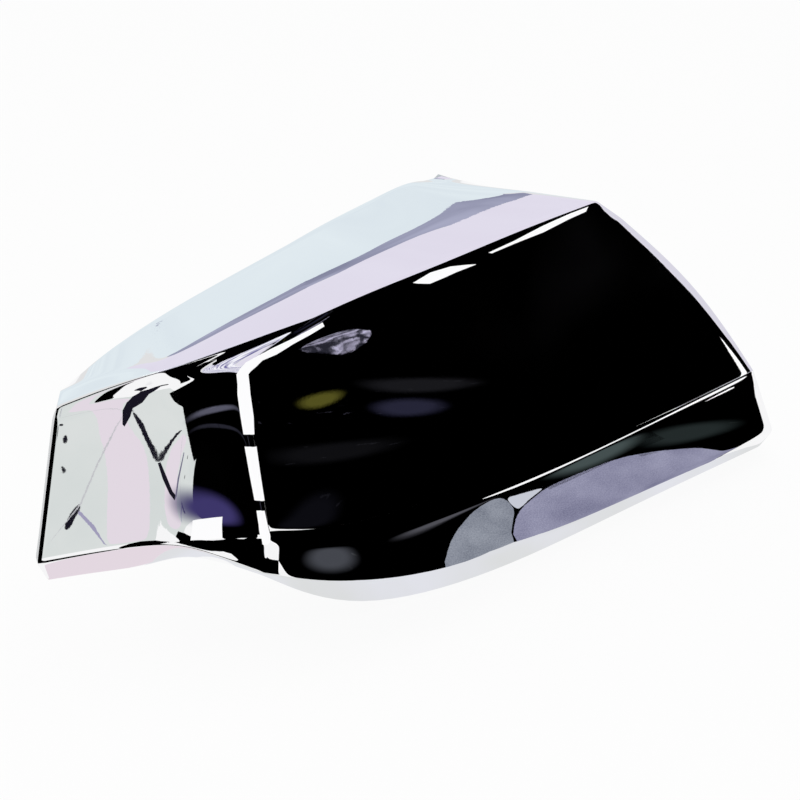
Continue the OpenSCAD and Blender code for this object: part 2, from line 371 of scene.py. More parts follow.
@dataclass(frozen=True)
class PlatedFinish:
    """Plated plastic: bright metal with the faint waviness of the moulding under it."""

    name: str
    color: tuple[float, float, float]
    roughness: tuple[float, float]
    wave_scale: float
    wave_height: float
    grain_scale: float
    grain_height: float

    def material(self) -> bpy.types.Material:
        """Makes the material.

        Returns:
            A metal whose roughness and bump vary over the surface.
        """
        material, tree = node_tree(self.name)
        nodes, link = tree.nodes, tree.links.new
        place = nodes.new("ShaderNodeTexCoord")
        shader = nodes.new("ShaderNodeBsdfPrincipled")
        shader.inputs["Base Color"].default_value = (*self.color, 1.0)
        shader.inputs["Metallic"].default_value = 1.0
        smudge = nodes.new("ShaderNodeTexNoise")
        smudge.inputs["Scale"].default_value = 28.0
        smudge.inputs["Detail"].default_value = 4.0
        gloss = nodes.new("ShaderNodeMapRange")
        gloss.inputs["From Min"].default_value = 0.35
        gloss.inputs["From Max"].default_value = 0.7
        gloss.inputs["To Min"].default_value = self.roughness[0]
        gloss.inputs["To Max"].default_value = self.roughness[1]
        wave = nodes.new("ShaderNodeTexNoise")
        wave.inputs["Scale"].default_value = self.wave_scale
        wave.inputs["Detail"].default_value = 1.5
        swell = nodes.new("ShaderNodeBump")
        swell.inputs["Strength"].default_value = 1.0
        swell.inputs["Distance"].default_value = self.wave_height
        grain = nodes.new("ShaderNodeTexNoise")
        grain.inputs["Scale"].default_value = self.grain_scale
        grain.inputs["Detail"].default_value = 3.0
        peel = nodes.new("ShaderNodeBump")
        peel.inputs["Strength"].default_value = 1.0
        peel.inputs["Distance"].default_value = self.grain_height
        for texture in (smudge, wave, grain):
            link(place.outputs["Object"], texture.inputs["Vector"])
        link(smudge.outputs["Fac"], gloss.inputs["Value"])
        link(gloss.outputs["Result"], shader.inputs["Roughness"])
        link(wave.outputs["Fac"], swell.inputs["Height"])
        link(grain.outputs["Fac"], peel.inputs["Height"])
        link(swell.outputs["Normal"], peel.inputs["Normal"])
        link(peel.outputs["Normal"], shader.inputs["Normal"])
        link(shader.outputs["BSDF"], output_of(tree).inputs["Surface"])
        return material


CHROME = PlatedFinish(
    name="bright_chrome", color=(0.93, 0.93, 0.94), roughness=(0.0, 0.03),
    wave_scale=16.0, wave_height=0.00002, grain_scale=900.0, grain_height=0.000001,
)
PLATED_INSIDE = PlatedFinish(
    name="dull_plated_inside", color=(0.62, 0.63, 0.64), roughness=(0.28, 0.42),
    wave_scale=40.0, wave_height=0.0001, grain_scale=1800.0, grain_height=0.00003,
)


# Pieces of the cover


def as_piece(name: str, bm: bmesh.types.BMesh, materials: Sequence[bpy.types.Material]) -> bpy.types.Object:
    """Makes a piece of the cover from a bmesh, smooth-shaded, riding on the cover's body.

    Args:
        name: Name of the piece.
        bm: Its mesh, which is freed.
        materials: Its materials, in the order of the faces' material indices.

    Returns:
        The new object, linked to the scene.
    """
    mesh = bpy.data.meshes.new(name)
    bmesh.ops.recalc_face_normals(bm, faces=bm.faces[:])
    for face in bm.faces:
        face.smooth = True
    bm.to_mesh(mesh)
    bm.free()
    for material in materials:
        mesh.materials.append(material)
    piece = bpy.data.objects.new(name, mesh)
    bpy.context.scene.collection.objects.link(piece)
    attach(piece, BODY)
    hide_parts(NODE)
    return piece


def add_bevel(piece: bpy.types.Object, width: float, degrees: float, segments: int) -> None:
    """Breaks the sharp edges of a piece.

    Args:
        piece: The piece.
        width: Width of the broken edge.
        degrees: Edges sharper than this are broken.
        segments: Steps across the broken edge.
    """
    bevel = piece.modifiers.new("broken_edges", "BEVEL")
    bevel.width = width
    bevel.segments = segments
    bevel.limit_method = "ANGLE"
    bevel.angle_limit = math.radians(degrees)
    bevel.harden_normals = False


@dataclass(frozen=True)
class Shell:
    """The moulded shell: an outer and an inner skin, joined round the rim."""

    net: SkinNet = field(default_factory=SkinNet)
    steps: int = 3
    rim_break: float = 0.00035

    @staticmethod
    def laid_out(bm: bmesh.types.BMesh, net: Net) -> list[bmesh.types.BMVert]:
        """Adds a flat grid to the mesh and moves its points to those of a net.

        Args:
            bm: The mesh.
            net: Rows of points.

        Returns:
            The grid's vertices, row by row.
        """
        rows, cols = len(net), len(net[0])
        grid = bmesh.ops.create_grid(bm, x_segments=cols - 1, y_segments=rows - 1, size=1.0)
        verts = sorted(grid["verts"], key=lambda v: (round(v.co.y, 4), round(v.co.x, 4)))
        points = [point for row in net for point in row]
        for vert, point in zip(verts, points, strict=True):
            vert.co = point
        return verts

    def cage(self) -> bmesh.types.BMesh:
        """The control cage of the shell, with sharp edges round the rim.

        Returns:
            A closed mesh; its outer faces have material 0, the others material 1.
        """
        bm = bmesh.new()
        crease = bm.edges.layers.float.new("crease_edge")
        outer_net = self.net.control_net(0.0)
        cols = len(outer_net[0])
        outer = self.laid_out(bm, outer_net)
        outer_faces = bm.faces[:]
        inner = self.laid_out(bm, self.net.control_net(self.net.guides.sizes.wall))
        rim = [edge for edge in bm.edges if edge.is_boundary]
        bmesh.ops.bridge_loops(bm, edges=rim)
        for face in bm.faces:
            face.material_index = 1
        for face in outer_faces:
            face.material_index = 0
        last = len(outer) - 1
        corners = [bm.edges.get((outer[k], inner[k])) for k in (0, cols - 1, last - cols + 1, last)]
        for edge in rim + corners:
            edge[crease] = 1.0
        return bm

    def build(self, outside: bpy.types.Material, inside: bpy.types.Material) -> bpy.types.Object:
        """Builds the shell.

        Args:
            outside: Material of the outer skin.
            inside: Material of the inner skin and the rim.

        Returns:
            The shell.
        """
        piece = as_piece("shell", self.cage(), (outside, inside))
        smooth = piece.modifiers.new("skin", "SUBSURF")
        smooth.levels = self.steps
        smooth.render_levels = self.steps
        add_bevel(piece, self.rim_break, 45.0, 2)
        return piece


@dataclass
class Wall:
    """Finds the shell's wall at a place in the front view."""

    shell: bpy.types.Object
    thickness: float = 0.0025
    tree: BVHTree = field(init=False)

    def __post_init__(self) -> None:
        """Reads the finished shell."""
        self.tree = BVHTree.FromObject(self.shell, bpy.context.evaluated_depsgraph_get())

    def middle(self, x: float, z: float) -> float:
        """How far to the rear the middle of the wall lies.

        Args:
            x: Place along the cover.
            z: Height.

        Returns:
            The mean of the wall's front and rear there.
        """
        far = 0.2
        inner = self.tree.ray_cast(Vector((x, far, z)), Vector((0, -1, 0)))[0]
        outer = self.tree.ray_cast(Vector((x, -far, z)), Vector((0, 1, 0)))[0]
        return (inner.y + outer.y) / 2

    def foot(self, x: float, z: float, across: float, up: float) -> float:
        """Where a foot can begin and yet stay behind the face.

        Args:
            x: Place of its middle along the cover.
            z: Height of its middle.
            across: Half its width.
            up: Half its height.

        Returns:
            How far to the rear the foot begins.
        """
        corners = [self.middle(x + a * across, z + b * up) for a in (-1, 1) for b in (-1, 1)]
        return max(self.middle(x, z), max(corners) - 0.42 * self.thickness)


def lofted_prism(bm: bmesh.types.BMesh, outline: Sequence[Vector], way: Vector,
                 bevel: float) -> None:
    """Adds a prism with broken edges to a mesh.

    Args:
        bm: The mesh.
        outline: The corners of one end.
        way: From this end to the other one.
        bevel: Width of the broken edges.
    """
    verts = [bm.verts.new(point) for point in outline]
    face = bm.faces.new(verts)
    moved = bmesh.ops.extrude_face_region(bm, geom=[face])["geom"]
    top = [item for item in moved if isinstance(item, bmesh.types.BMVert)]
    bmesh.ops.translate(bm, verts=top, vec=way)
    edges = {edge for vert in verts + top for edge in vert.link_edges}
    bmesh.ops.bevel(bm, geom=list(edges), offset=bevel, offset_type="OFFSET", segments=2,
                    profile=0.5, affect="EDGES", material=-1, clamp_overlap=True)


@dataclass(frozen=True)
class LocatingPins:
    """Three pins with their bosses and webs, on the inside of the wall."""

    pin_d: float = 0.005
    side_pin_d: float = 0.0045
    pin_l: float = 0.008
    seat_h: float = 0.009
    boss_d: float = 0.0064
    outer_pin: tuple[float, float] = (0.092, -0.012)
    arm_pin: tuple[float, float] = (-0.112, 0.010)
    web_reach: float = 0.008
    rib_t: float = 0.0016
    wall: float = 0.0025
    chamfer: float = 0.0008
    turns: int = 48

    def pin(self, bm: bmesh.types.BMesh, wall: Wall, place: tuple[float, float], diameter: float,
            seat: float) -> None:
        """Adds one pin with its boss, seat and webs.

        Args:
            bm: The mesh.
            wall: The shell's wall.
            place: The pin's place along the cover and its height.
            diameter: Diameter of the pin.
            seat: How far to the rear its seat lies.
        """
        x, z = place
        boss_r, small = self.boss_d / 2, 0.0002
        half = boss_r * math.sqrt(0.5)
        root, tip, r = wall.foot(x, z, half, half), seat + self.pin_l, diameter / 2
        outline = [
            (0.0, root), (boss_r, root), (boss_r, seat - small), (boss_r - small, seat),
            (r + small, seat), (r, seat + small), (r, tip - self.chamfer),
            (r - self.chamfer, tip), (0.0, tip),
        ]
        verts = [bm.verts.new((x + radius, y, z)) for radius, y in outline]
        edges = [bm.edges.new(pair) for pair in zip(verts, verts[1:])]
        bmesh.ops.spin(bm, geom=verts + edges, cent=(x, 0.0, z), axis=(0.0, 1.0, 0.0),
                       angle=math.tau, steps=self.turns, use_merge=True)
        bmesh.ops.remove_doubles(bm, verts=bm.verts[:], dist=1e-6)
        for way in (-1, 1):
            self.web(bm, wall, place, Vector((way * self.web_reach, 0.0, 0.0)), seat - 0.001)
            self.web(bm, wall, place, Vector((0.0, 0.0, way * self.web_reach)), seat - 0.001)

    def web(self, bm: bmesh.types.BMesh, wall: Wall, place: tuple[float, float], reach: Vector,
            top: float) -> None:
        """Adds one web, which braces a boss.

        Args:
            bm: The mesh.
            wall: The shell's wall.
            place: The boss's place along the cover and its height.
            reach: From the boss's axis to the web's foot.
            top: How far to the rear the web goes at the boss.
        """
        x, z = place
        foot_y = wall.middle(x + reach.x, z + reach.z)
        side = Vector((reach.z, 0.0, reach.x)).normalized() * self.rib_t / 2
        outline = [
            Vector((x, wall.middle(x, z), z)), Vector((x + reach.x, foot_y, z + reach.z)),
            Vector((x + reach.x, foot_y + self.wall, z + reach.z)), Vector((x, top, z)),
        ]
        lofted_prism(bm, [point - side for point in outline], side * 2, 0.0002)

    def build(self, wall: Wall, material: bpy.types.Material) -> bpy.types.Object:
        """Builds the three pins as one piece."""
        bm = bmesh.new()
        self.pin(bm, wall, (0.0, 0.0), self.pin_d, -self.pin_l / 2)
        for place in (self.outer_pin, self.arm_pin):
            self.pin(bm, wall, place, self.side_pin_d, wall.middle(*place) + self.seat_h)
        return as_piece("locating_pins", bm, (material,))


@dataclass(frozen=True)
class SnapHooks:
    """Tongues with barbs, which spring over the edges of the mirror housing."""

    width: float = 0.010
    thickness: float = 0.002
    length: float = 0.027
    arm_length: float = 0.014
    barb: float = 0.0018
    upper: tuple[float, ...] = (-0.040, 0.010, 0.060)
    upper_z: float = 0.038
    lower: tuple[float, ...] = (-0.020, 0.045, 0.110)
    lower_z: float = -0.0525
    arm_x: float = -0.112
    arm_z: tuple[float, float] = (0.0305, -0.0085)

    def hook(self, bm: bmesh.types.BMesh, wall: Wall, place: tuple[float, float], way: int,
             length: float) -> None:
        """Adds one hook.

        Args:
            bm: The mesh.
            wall: The shell's wall.
            place: The hook's place along the cover and its height.
            way: 1 where its barb looks up, -1 where it looks down.
            length: From the wall to its tip.
        """
        (x, z), half = place, self.thickness / 2
        root = wall.foot(x, z, self.width / 2, half)
        tip = root + length
        outline = [
            (root, -half * way), (root, half * way), (tip - 3 * self.barb, half * way),
            (tip - 3 * self.barb, (half + self.barb) * way), (tip, half / 2 * way),
            (tip, -half * way),
        ]
        points = [Vector((x - self.width / 2, y, z + up)) for y, up in outline]
        lofted_prism(bm, points, Vector((self.width, 0.0, 0.0)), 0.0003)

    def build(self, wall: Wall, material: bpy.types.Material) -> bpy.types.Object:
        """Builds all hooks as one piece."""
        bm = bmesh.new()
        for x in self.upper:
            self.hook(bm, wall, (x, self.upper_z), 1, self.length)
        for x in self.lower:
            self.hook(bm, wall, (x, self.lower_z), -1, self.length)
        for z, way in zip(self.arm_z, (1, -1)):
            self.hook(bm, wall, (self.arm_x, z), way, self.arm_length)
        return as_piece("snap_hooks", bm, (material,))


@dataclass(frozen=True)
class UprightRibs:
    """Low ribs that stiffen the face from behind."""

    places: tuple[float, ...] = (-0.045, 0.035, 0.070)
    foot_z: float = -0.0275
    head_z: float = 0.0305
    thickness: float = 0.0016
    height: float = 0.004
    wall: float = 0.0025
    steps: int = 8

    def build(self, wall: Wall, material: bpy.types.Material) -> bpy.types.Object:
        """Builds the ribs as one piece."""
        bm = bmesh.new()
        for x in self.places:
            levels = [self.foot_z + (self.head_z - self.foot_z) * k / self.steps
                      for k in range(self.steps + 1)]
            front = [Vector((x - self.thickness / 2, wall.middle(x, z), z)) for z in levels]
            rear = [p + Vector((0.0, self.wall / 2 + self.height, 0.0)) for p in reversed(front)]
            lofted_prism(bm, front + rear, Vector((self.thickness, 0.0, 0.0)), 0.0003)
        return as_piece("upright_ribs", bm, (material,))


# Studio, with the glowing cards that paint the cover's reflections


Color = tuple[float, float, float]
Triple = tuple[float, float, float]
Place = tuple[float, float]
Outline = tuple[Place, ...]


def background_rays(tree: bpy.types.NodeTree) -> bpy.types.NodeSocket:
    """Adds a value that is 1 for camera, glossy and transmission rays, and 0 for the rest."""
    rays = tree.nodes.new("ShaderNodeLightPath")
    socket = rays.outputs["Is Camera Ray"]
    for kind in ("Is Glossy Ray", "Is Transmission Ray"):
        either = tree.nodes.new("ShaderNodeMath")
        either.operation = "MAXIMUM"
        tree.links.new(socket, either.inputs[0])
        tree.links.new(rays.outputs[kind], either.inputs[1])
        socket = either.outputs[0]
    return socket


def tint(red: int, green: int, blue: int) -> Color:
    """The light that a card gives off to look like a screen colour in the plating.

    Args:
        red: Red of the reflection on the screen, up to 255.
        green: Its green.
        blue: Its blue.

    Returns:
        The linear colour, a little lighter than the reflection, as the plating dims it.
    """
    plating = 0.93
    return tuple((channel / 255.0) ** 2.2 / plating for channel in (red, green, blue))


def emission(tree: bpy.types.NodeTree) -> bpy.types.Node:
    """Adds an emission shader to a material's tree and makes it the surface."""
    glow = tree.nodes.new("ShaderNodeEmission")
    tree.links.new(glow.outputs["Emission"], output_of(tree).inputs["Surface"])
    return glow


def two_colors(tree: bpy.types.NodeTree, levels: tuple[float, float], dark: Color,
               light: Color) -> bpy.types.Node:
    """Adds a ramp from one colour to another."""
    ramp = tree.nodes.new("ShaderNodeValToRGB")
    for stop, level, color in zip(ramp.color_ramp.elements, levels, (dark, light)):
        stop.position, stop.color = level, (*color, 1.0)
    return ramp


def stretched_noise(tree: bpy.types.NodeTree, stretch: Triple, twist: float,
                    kind: str = "FBM") -> bpy.types.Node:
    """Adds a noise over the object's own coordinates, stretched along them.

    Args:
        tree: The material's tree.
        stretch: How many patches there are for each unit along each axis.
        twist: How far the noise is distorted.
        kind: Kind of the noise.

    Returns:
        The noise.
    """
    place = tree.nodes.new("ShaderNodeTexCoord")
    scale = tree.nodes.new("ShaderNodeMapping")
    scale.inputs["Scale"].default_value = stretch
    noise = tree.nodes.new("ShaderNodeTexNoise")
    noise.noise_type = kind
    noise.normalize = True
    noise.inputs["Scale"].default_value = 1.0
    noise.inputs["Detail"].default_value = 4.0
    noise.inputs["Distortion"].default_value = twist
    tree.links.new(place.outputs["Object"], scale.inputs["Vector"])
    tree.links.new(scale.outputs["Vector"], noise.inputs["Vector"])
    return noise


@dataclass(frozen=True)
class Glow:
    """A plain card that gives off its own colour."""

    color: Color

    def material(self, name: str) -> bpy.types.Material:
        """Makes the card's material."""
        material, tree = node_tree(name)
        glow = emission(tree)
        glow.inputs["Color"].default_value = (*self.color, 1.0)
        return material


@dataclass(frozen=True)
class MottledGlow:
    """Two colours in stretched patches, with a fine grain."""

    dark: Color
    light: Color
    stretch: Triple
    levels: tuple[float, float] = (0.35, 0.65)
    grain: float = 0.0
    grain_scale: float = 2000.0
    twist: float = 0.0

    def material(self, name: str) -> bpy.types.Material:
        """Makes the card's material."""
        material, tree = node_tree(name)
        link = tree.links.new
        patches = stretched_noise(tree, self.stretch, self.twist)
        grain = stretched_noise(tree, (self.grain_scale,) * 3, 0.0)
        both = tree.nodes.new("ShaderNodeMix")
        both.data_type = "FLOAT"
        both.inputs["Factor"].default_value = self.grain
        ramp = two_colors(tree, self.levels, self.dark, self.light)
        link(patches.outputs["Fac"], both.inputs["A"])
        link(grain.outputs["Fac"], both.inputs["B"])
        link(both.outputs["Result"], ramp.inputs["Fac"])
        link(ramp.outputs["Color"], emission(tree).inputs["Color"])
        return material


@dataclass(frozen=True)
class FadingGlow:
    """Painted reflected streaks, of ridged noise, that fade out towards the edge of an oval."""

    dark: Color
    light: Color
    stretch: Triple
    levels: tuple[float, float] = (0.3, 0.8)
    fade: float = 0.6
    twist: float = 0.8

    def material(self, name: str) -> bpy.types.Material:
        """Makes the card's material."""
        material, tree = node_tree(name)
        nodes, link = tree.nodes, tree.links.new
        # Ridged noise for the painted reflected streaks.
        painted_streak_noise = stretched_noise(tree, self.stretch, self.twist, "RIDGED_MULTIFRACTAL")
        ramp = two_colors(tree, self.levels, self.dark, self.light)
        place = nodes.new("ShaderNodeTexCoord")
        oval = nodes.new("ShaderNodeTexGradient")
        oval.gradient_type = "SPHERICAL"
        share = nodes.new("ShaderNodeMapRange")
        share.interpolation_type = "SMOOTHSTEP"
        share.inputs["From Max"].default_value = self.fade
        clear = nodes.new("ShaderNodeBsdfTransparent")
        glow = nodes.new("ShaderNodeEmission")
        mix = nodes.new("ShaderNodeMixShader")
        link(painted_streak_noise.outputs["Fac"], ramp.inputs["Fac"])
        link(ramp.outputs["Color"], glow.inputs["Color"])
        link(place.outputs["Object"], oval.inputs["Vector"])
        link(oval.outputs["Fac"], share.inputs["Value"])
        link(share.outputs["Result"], mix.inputs["Fac"])
        link(clear.outputs["BSDF"], mix.inputs[1])
        link(glow.outputs["Emission"], mix.inputs[2])
        link(mix.outputs["Shader"], output_of(tree).inputs["Surface"])
        return material


# Each finish is the glow of a card that lights nothing and paints a reflection in the chrome.
Finish = Glow | MottledGlow | FadingGlow


def only_reflected(name: str, bm: bmesh.types.BMesh, finish: Finish) -> bpy.types.Object:
    """Makes a glowing piece of the studio that is seen only in the cover's reflections, where it paints a
    reflection; it lights nothing and casts no shadow.

    Args:
        name: Name of the piece.
        bm: Its mesh, which is freed.
        finish: What it looks like.

    Returns:
        The piece, which belongs to the studio and not to the cover.
    """
    mesh = bpy.data.meshes.new(name)
    bm.to_mesh(mesh)
    bm.free()
    mesh.materials.append(finish.material(name))
    card = bpy.data.objects.new(name, mesh)
    bpy.context.scene.collection.objects.link(card)
    card.visible_camera = False
    card.visible_diffuse = False
    card.visible_shadow = False
    card.visible_transmission = False
    return card


@dataclass(frozen=True)
class Board:
    """A flat place in the studio that cards lie on in thin layers, towards the cover."""

    turn: Matrix
    inwards: float
    layer: float = 0.0002

    @classmethod
    def upright(cls, azimuth: float, distance: float) -> "Board":
        """A board square to a direction from the origin, with places across and up."""
        az = math.radians(azimuth)
        foot = Vector((distance * math.sin(az), -distance * math.cos(az), 0.0))
        turn = Matrix.Rotation(az, 4, "Z") @ Matrix.Rotation(math.radians(90.0), 4, "X")
        return cls(Matrix.Translation(foot) @ turn, -1.0)

    @classmethod
    def level(cls, height: float) -> "Board":
        """A level board at a height, with places as in the cover's frame."""
        return cls(Matrix.Translation((0.0, 0.0, height)), -math.copysign(1.0, height))

    @classmethod
    def facing(cls, middle: Triple, toward: Triple) -> "Board":
        """A board square to any direction, with its own origin at a middle.

        Args:
            middle: Where the board's origin stands.
            toward: The way that its cards face.

        Returns:
            The board.
        """
        ahead = Vector(toward).normalized()
        across = Vector((0.0, 0.0, 1.0)).cross(ahead).normalized()
        turn = Matrix((across, ahead.cross(across), ahead)).transposed().to_4x4()
        return cls(Matrix.Translation(middle) @ turn, 1.0)

    def spot(self, middle: Place, layer: int) -> Matrix:
        """Where a card with its middle at a place of the board stands."""
        return self.turn @ Matrix.Translation((*middle, self.inwards * layer * self.layer))


def rounded(outline: Outline, times: int) -> list[Place]:
    """Cuts the corners of an outline, so that it bends smoothly."""
    for _ in range(times):
        pairs = zip(outline, outline[1:] + outline[:1])
        outline = tuple(
            (a[0] + (b[0] - a[0]) * share, a[1] + (b[1] - a[1]) * share)
            for a, b in pairs for share in (0.25, 0.75)
        )
    return list(outline)


def band(path: Outline, width: float) -> Outline:
    """The outline of a band along a path, which ends in a point on both sides."""
    points = [Vector(place) for place in path]
    sides: tuple[list[Place], list[Place]] = ([], [])
    for before, here, after in zip(points, points[1:], points[2:]):
        across = (after - before).orthogonal().normalized() * width / 2
        for side, way in zip(sides, (1, -1)):
            side.append(tuple(here + across * way))
    return (path[0], *sides[0], path[-1], *reversed(sides[1]))


@dataclass(frozen=True)
class Sheet:
    """A card of any outline, with rounded corners."""

    name: str
    board: Board
    outline: Outline
    finish: Finish
    layer: int = 0
    rounds: int = 2

    def build(self) -> bpy.types.Object:
        """Cuts the card out and lays it on its board."""
        bm = bmesh.new()
        corners = rounded(self.outline, self.rounds)
        rim = bmesh.ops.create_circle(bm, cap_ends=True, segments=len(corners), radius=1.0)
        for vert, corner in zip(rim["verts"], corners, strict=True):
            vert.co = (*corner, 0.0)
        sheet = only_reflected(self.name, bm, self.finish)
        sheet.matrix_world = self.board.spot((0.0, 0.0), self.layer)
        return sheet


@dataclass(frozen=True)
class Patch:
    """An oval card, given by its middle, its half lengths and its turn in degrees."""

    name: str
    board: Board
    middle: Place
    half: Place
    turn: float
    finish: Finish
    layer: int = 1

    def build(self) -> bpy.types.Object:
        """Lays the card on its board."""
        bm = bmesh.new()
        bmesh.ops.create_grid(bm, x_segments=1, y_segments=1, size=1.0)
        patch = only_reflected(self.name, bm, self.finish)
        patch.matrix_world = (
            self.board.spot(self.middle, self.layer)
            @ Matrix.Rotation(math.radians(self.turn), 4, "Z")
            @ Matrix.Diagonal((*self.half, 1.0, 1.0))
        )
        return patch


@dataclass(frozen=True)
class Ribbon:
    """A bent strip that hangs close before the cover, given by its rows of points; its glow paints a
    highlight or a dark line onto the chrome.
    """

    name: str
    rows: tuple[tuple[Triple, ...], ...]
    finish: Finish

    def build(self) -> bpy.types.Object:
        """Bends the strip."""
        bm = bmesh.new()
        Shell.laid_out(bm, [[Vector(point) for point in row] for row in self.rows])
        return only_reflected(self.name, bm, self.finish)


FACE_BOARD = Board.upright(50.0, 0.40)
FLANK_BOARD = Board.upright(-35.0, 0.235)
FLOOR_BOARD = Board.level(-0.0742)
CEILING = Board.level(0.25)
VALLEY_BOARD = Board.facing((-0.0908, -0.0283, -0.0150), (0.685, 0.505, 0.525))

# Black cards paint dark reflections in the chrome, white cards paint highlights.
PAINTED_DARK_REFLECTION = Glow((0.0, 0.0, 0.0))
PAINTED_HIGHLIGHT = Glow((1.05, 1.05, 1.05))

# Edges of the dark stripe, which paints the dark reflected band along the top crease.
STRIPE_NEAR: Outline = (
    (-0.0287, 0.1280), (0.0073, 0.0691), (0.0310, 0.0622), (0.0520, 0.0548), (0.0708, 0.0536),
    (0.1169, 0.0708), (0.1406, 0.1072), (0.1588, 0.1273), (0.1716, 0.1438), (0.1787, 0.1474),
    (0.1894, 0.1598), (0.2052, 0.1732), (0.2274, 0.1912), (0.2469, 0.2084), (0.2717, 0.2348),
)
STRIPE_FAR: Outline = (
    (-0.0330, 0.1380), (-0.0100, 0.1460), (0.0109, 0.1555), (0.0350, 0.1620), (0.0747, 0.1615),
    (0.0917, 0.1660), (0.1087, 0.1660), (0.1300, 0.1690), (0.1480, 0.1780), (0.1650, 0.1970),
    (0.1770, 0.2055), (0.1910, 0.2070), (0.2050, 0.2150), (0.2220, 0.2240), (0.2330, 0.2320),
    (0.2450, 0.2410), (0.2530, 0.2490), (0.2620, 0.2610), (0.2700, 0.2755),
)


def ceiling_cards() -> list[Sheet]:
    """The cards that paint the reflections on the top: two pale sheets, a dark stripe and a streaked sheet.
    """
    cyan_edge = (
        (0.60, 0.45), (0.60, 0.90), (-0.40, 0.90), (-0.40, -0.15), (-0.08, -0.15), (-0.08, 0.13),
    )
    lilac_edge = ((12.0, 6.0), (12.0, -10.0), (0.60, -0.30), (-0.08, -0.10), (-0.08, 0.13))
    return [
        Sheet("pale_cyan_sheet", CEILING, STRIPE_FAR + cyan_edge,
              MottledGlow(tint(217, 227, 233), tint(226, 236, 240), (4.0, 14.0, 1.0)), 0, 0),
        Sheet("pale_lilac_sheet", CEILING, STRIPE_NEAR + lilac_edge,
              MottledGlow(tint(221, 216, 231), tint(226, 222, 236), (4.0, 14.0, 1.0)), 0, 0),
        Sheet("dark_stripe", CEILING, STRIPE_FAR + STRIPE_NEAR[::-1],
              MottledGlow(tint(132, 134, 158), tint(166, 168, 192), (10.0, 10.0, 1.0)), 1, 1),
        Sheet("streaked_sheet", CEILING, (
            (-0.08, -0.11), (0.14, -0.17), (0.18, -0.45), (0.45, -1.0), (0.45, -6.0), (-0.5, -6.0),
        ), MottledGlow(tint(96, 88, 150), tint(244, 244, 250), (28.0, 28.0, 1.0),
                       (0.36, 0.56)), 1, 0),
    ]


